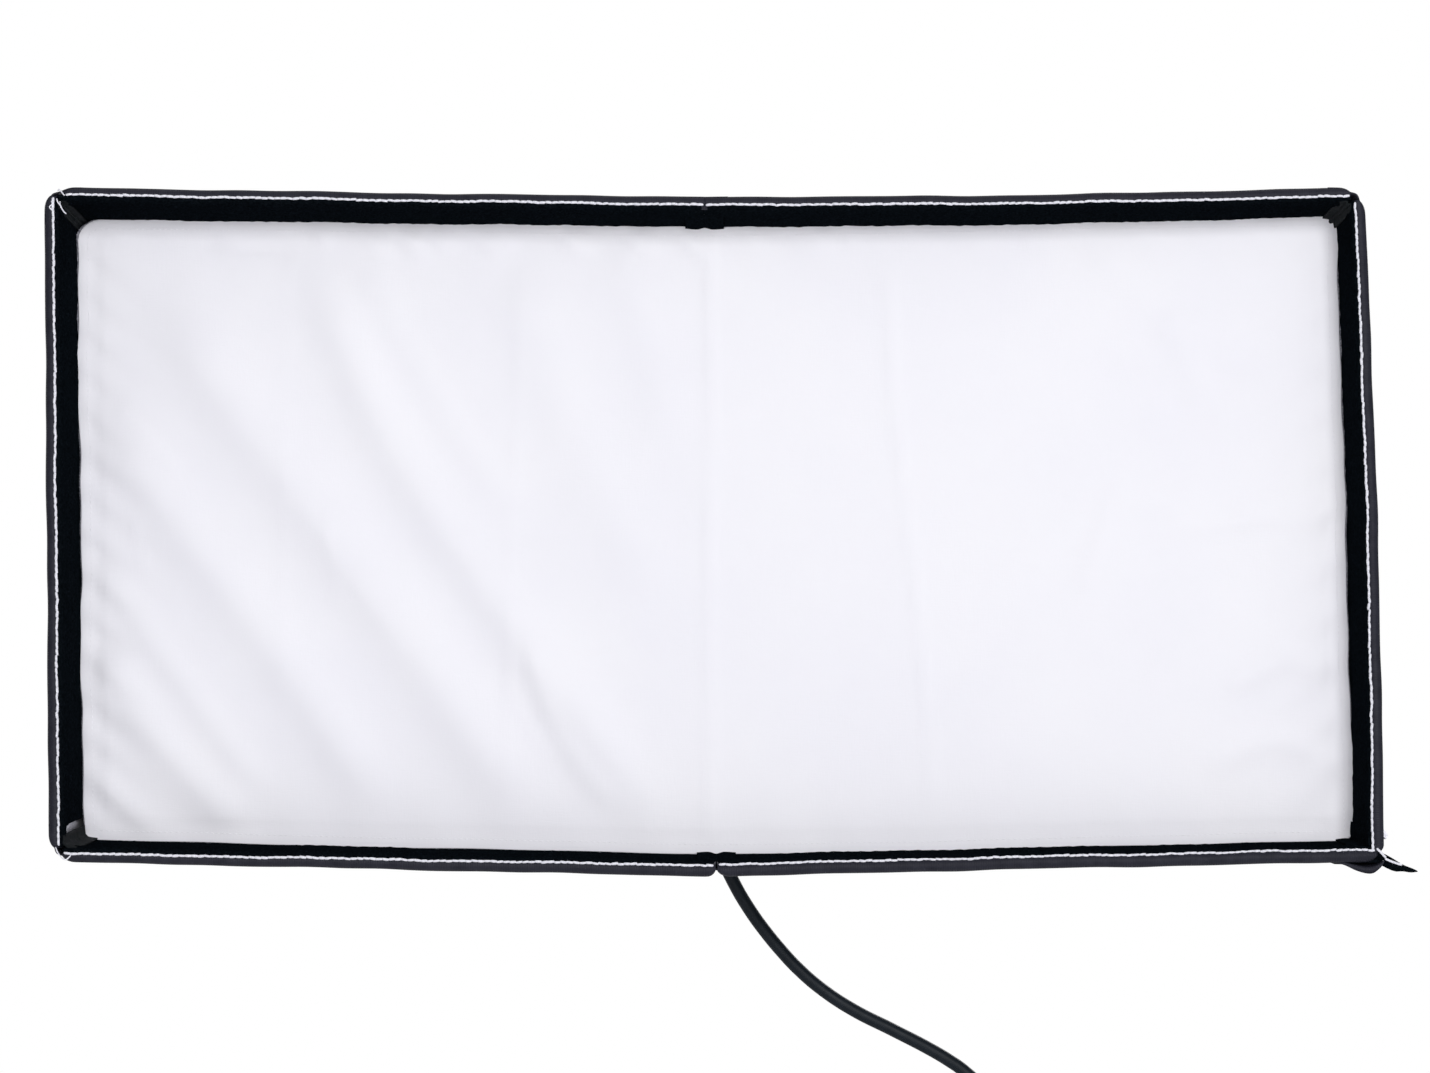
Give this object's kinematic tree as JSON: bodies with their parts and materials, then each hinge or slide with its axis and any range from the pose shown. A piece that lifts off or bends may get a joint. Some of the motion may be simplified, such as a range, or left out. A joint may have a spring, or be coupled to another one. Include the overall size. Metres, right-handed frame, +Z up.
{
  "type": "strip softbox",
  "caption": "Folding strip softbox with a recessed white diffuser on a flexible LED mat, held by an X frame with a tilting stand socket.",
  "frame": {"origin": "middle of the seat face at the blind end of the stand socket", "axes": "+Z up along the stand, the diffuser faces -Y, +X to the right as seen from the front"},
  "size_m": [0.682, 0.2289, 0.6631],
  "materials": {
    "wall_fabric": "matt coated Oxford cloth",
    "loop_band": "brushed loop pile",
    "binding_tape": "grosgrain tape",
    "hinge_fabric": "matt cloth",
    "diffuser_cloth": "soft white nylon",
    "hook_tape": "hook tape",
    "mat_fabric": "coated cloth",
    "mat_core": "flexible circuit core",
    "led_sheet": "white flexible circuit sheet",
    "rod_plastic": "satin glass-fibre rod",
    "cast_black": "fine textured black paint",
    "steel": "plain steel",
    "knob_plastic": "fine grained nylon",
    "cord_jacket": "satin rubber jacket"
  },
  "bodies": {
    "bracket": {"stand_socket": "cast_black", "tilt_yoke": "cast_black", "tilt_bolt": "steel", "tilt_washer": "steel"},
    "tilt_lever": {"tilt_lever": "knob_plastic"},
    "clamp_knob": {"clamp_screw": "steel", "clamp_knob": "knob_plastic"},
    "head": {"hub": "cast_black", "tilt_lug": "cast_black", "frame_rod_top_left": "rod_plastic", "frame_rod_top_right": "rod_plastic", "frame_rod_bottom_left": "rod_plastic", "frame_rod_bottom_right": "rod_plastic", "corner_pocket_top_left": "mat_fabric", "corner_pocket_top_right": "mat_fabric", "corner_pocket_bottom_left": "mat_fabric", "corner_pocket_bottom_right": "mat_fabric", "mat_back_cover": "mat_fabric", "mat_core": "mat_core", "led_sheet": "led_sheet", "mat_loop_strip_left": "loop_band", "mat_loop_strip_right": "loop_band", "mat_loop_strip_top": "loop_band", "mat_loop_strip_bottom": "loop_band", "tail_strain_relief": "cord_jacket", "tail_cord": "cord_jacket", "connector_body": "knob_plastic"},
    "coupling_ring": {"coupling_ring": "steel"},
    "left_wall": {"wall_left": "wall_fabric", "loop_band_left": "loop_band", "binding_left": "binding_tape", "hook_flap_left": "hook_tape", "hinge_strip_top_left": "hinge_fabric", "hinge_strip_bottom_left": "hinge_fabric"},
    "diffuser": {"diffuser_cloth": "diffuser_cloth", "diffuser_hook_tape": "hook_tape"},
    "top_left": {"wall_top_left": "wall_fabric", "loop_band_top_left": "loop_band", "binding_top_left": "binding_tape", "hinge_strip_top_middle": "hinge_fabric"},
    "top_right": {"wall_top_right": "wall_fabric", "loop_band_top_right": "loop_band", "binding_top_right": "binding_tape", "hinge_strip_top_right": "hinge_fabric"},
    "right_wall": {"wall_right": "wall_fabric", "loop_band_right": "loop_band", "binding_right": "binding_tape", "hook_flap_right": "hook_tape"},
    "bottom_left": {"wall_bottom_left": "wall_fabric", "loop_band_bottom_left": "loop_band", "binding_bottom_left": "binding_tape", "hinge_strip_bottom_middle": "hinge_fabric"},
    "bottom_right": {"wall_bottom_right": "wall_fabric", "loop_band_bottom_right": "loop_band", "binding_bottom_right": "binding_tape", "closing_flap": "hinge_fabric"}
  },
  "joints": [
    {"name": "head_tilt", "type": "hinge", "parent": "bracket", "child": "head", "pos_m": [0, 0, 0.038], "axis": [1, 0, 0], "range_deg": [-75, 15]},
    {"name": "tilt_lever_turn", "type": "hinge", "parent": "bracket", "child": "tilt_lever", "pos_m": [0.022, 0, 0.038], "axis": [1, 0, 0], "range_deg": [-45, 45]},
    {"name": "clamp_knob_turn", "type": "hinge", "parent": "bracket", "child": "clamp_knob", "pos_m": [0, 0.028, -0.021], "axis": [0, 1, 0], "range_deg": [0, 540]},
    {"name": "coupling_ring_turn", "type": "hinge", "parent": "head", "child": "coupling_ring", "pos_m": [0.162, -0.0338, -0.45], "axis": [0, 0, 1], "continuous": true},
    {"name": "ring_off", "type": "slide", "parent": "head", "child": "left_wall", "axis": [0, -1, 0], "range_m": [0, 0.15]},
    {"name": "diffuser_off", "type": "slide", "parent": "left_wall", "child": "diffuser", "axis": [0, -1, 0], "range_m": [0, 0.12]},
    {"name": "ring_fold", "type": "hinge", "parent": "left_wall", "child": "top_left", "pos_m": [-0.3347, -0.1772, 0.2042], "axis": [-0.1378, -0.9808, 0.1378], "range_deg": [0, 84], "deforming": ["diffuser_cloth", "diffuser_hook_tape"]},
    {"name": "top_middle_fold", "type": "hinge", "parent": "top_left", "child": "top_right", "pos_m": [-0.003, -0.1772, 0.1992], "axis": [0, -0.9903, 0.1392], "range_deg": [-171, 0]},
    {"name": "top_right_fold", "type": "hinge", "parent": "top_right", "child": "right_wall", "pos_m": [0.3287, -0.1772, 0.2042], "axis": [0.1378, -0.9808, 0.1378], "range_deg": [0, 82.5]},
    {"name": "bottom_left_fold", "type": "hinge", "parent": "left_wall", "child": "bottom_left", "pos_m": [-0.3287, -0.1772, -0.1282], "axis": [-0.1378, -0.9808, -0.1378], "range_deg": [-85.5, 0]},
    {"name": "bottom_middle_fold", "type": "hinge", "parent": "bottom_left", "child": "bottom_right", "pos_m": [0.003, -0.1772, -0.1357], "axis": [0, -0.9903, -0.1392], "range_deg": [0, 169]}
  ],
  "couplings": [
    {"joint": "top_middle_fold", "follows": "ring_fold", "ratio": -2.031},
    {"joint": "top_right_fold", "follows": "ring_fold", "ratio": 0.977},
    {"joint": "bottom_left_fold", "follows": "ring_fold", "ratio": -1.0135},
    {"joint": "bottom_middle_fold", "follows": "ring_fold", "ratio": 2.007}
  ]
}
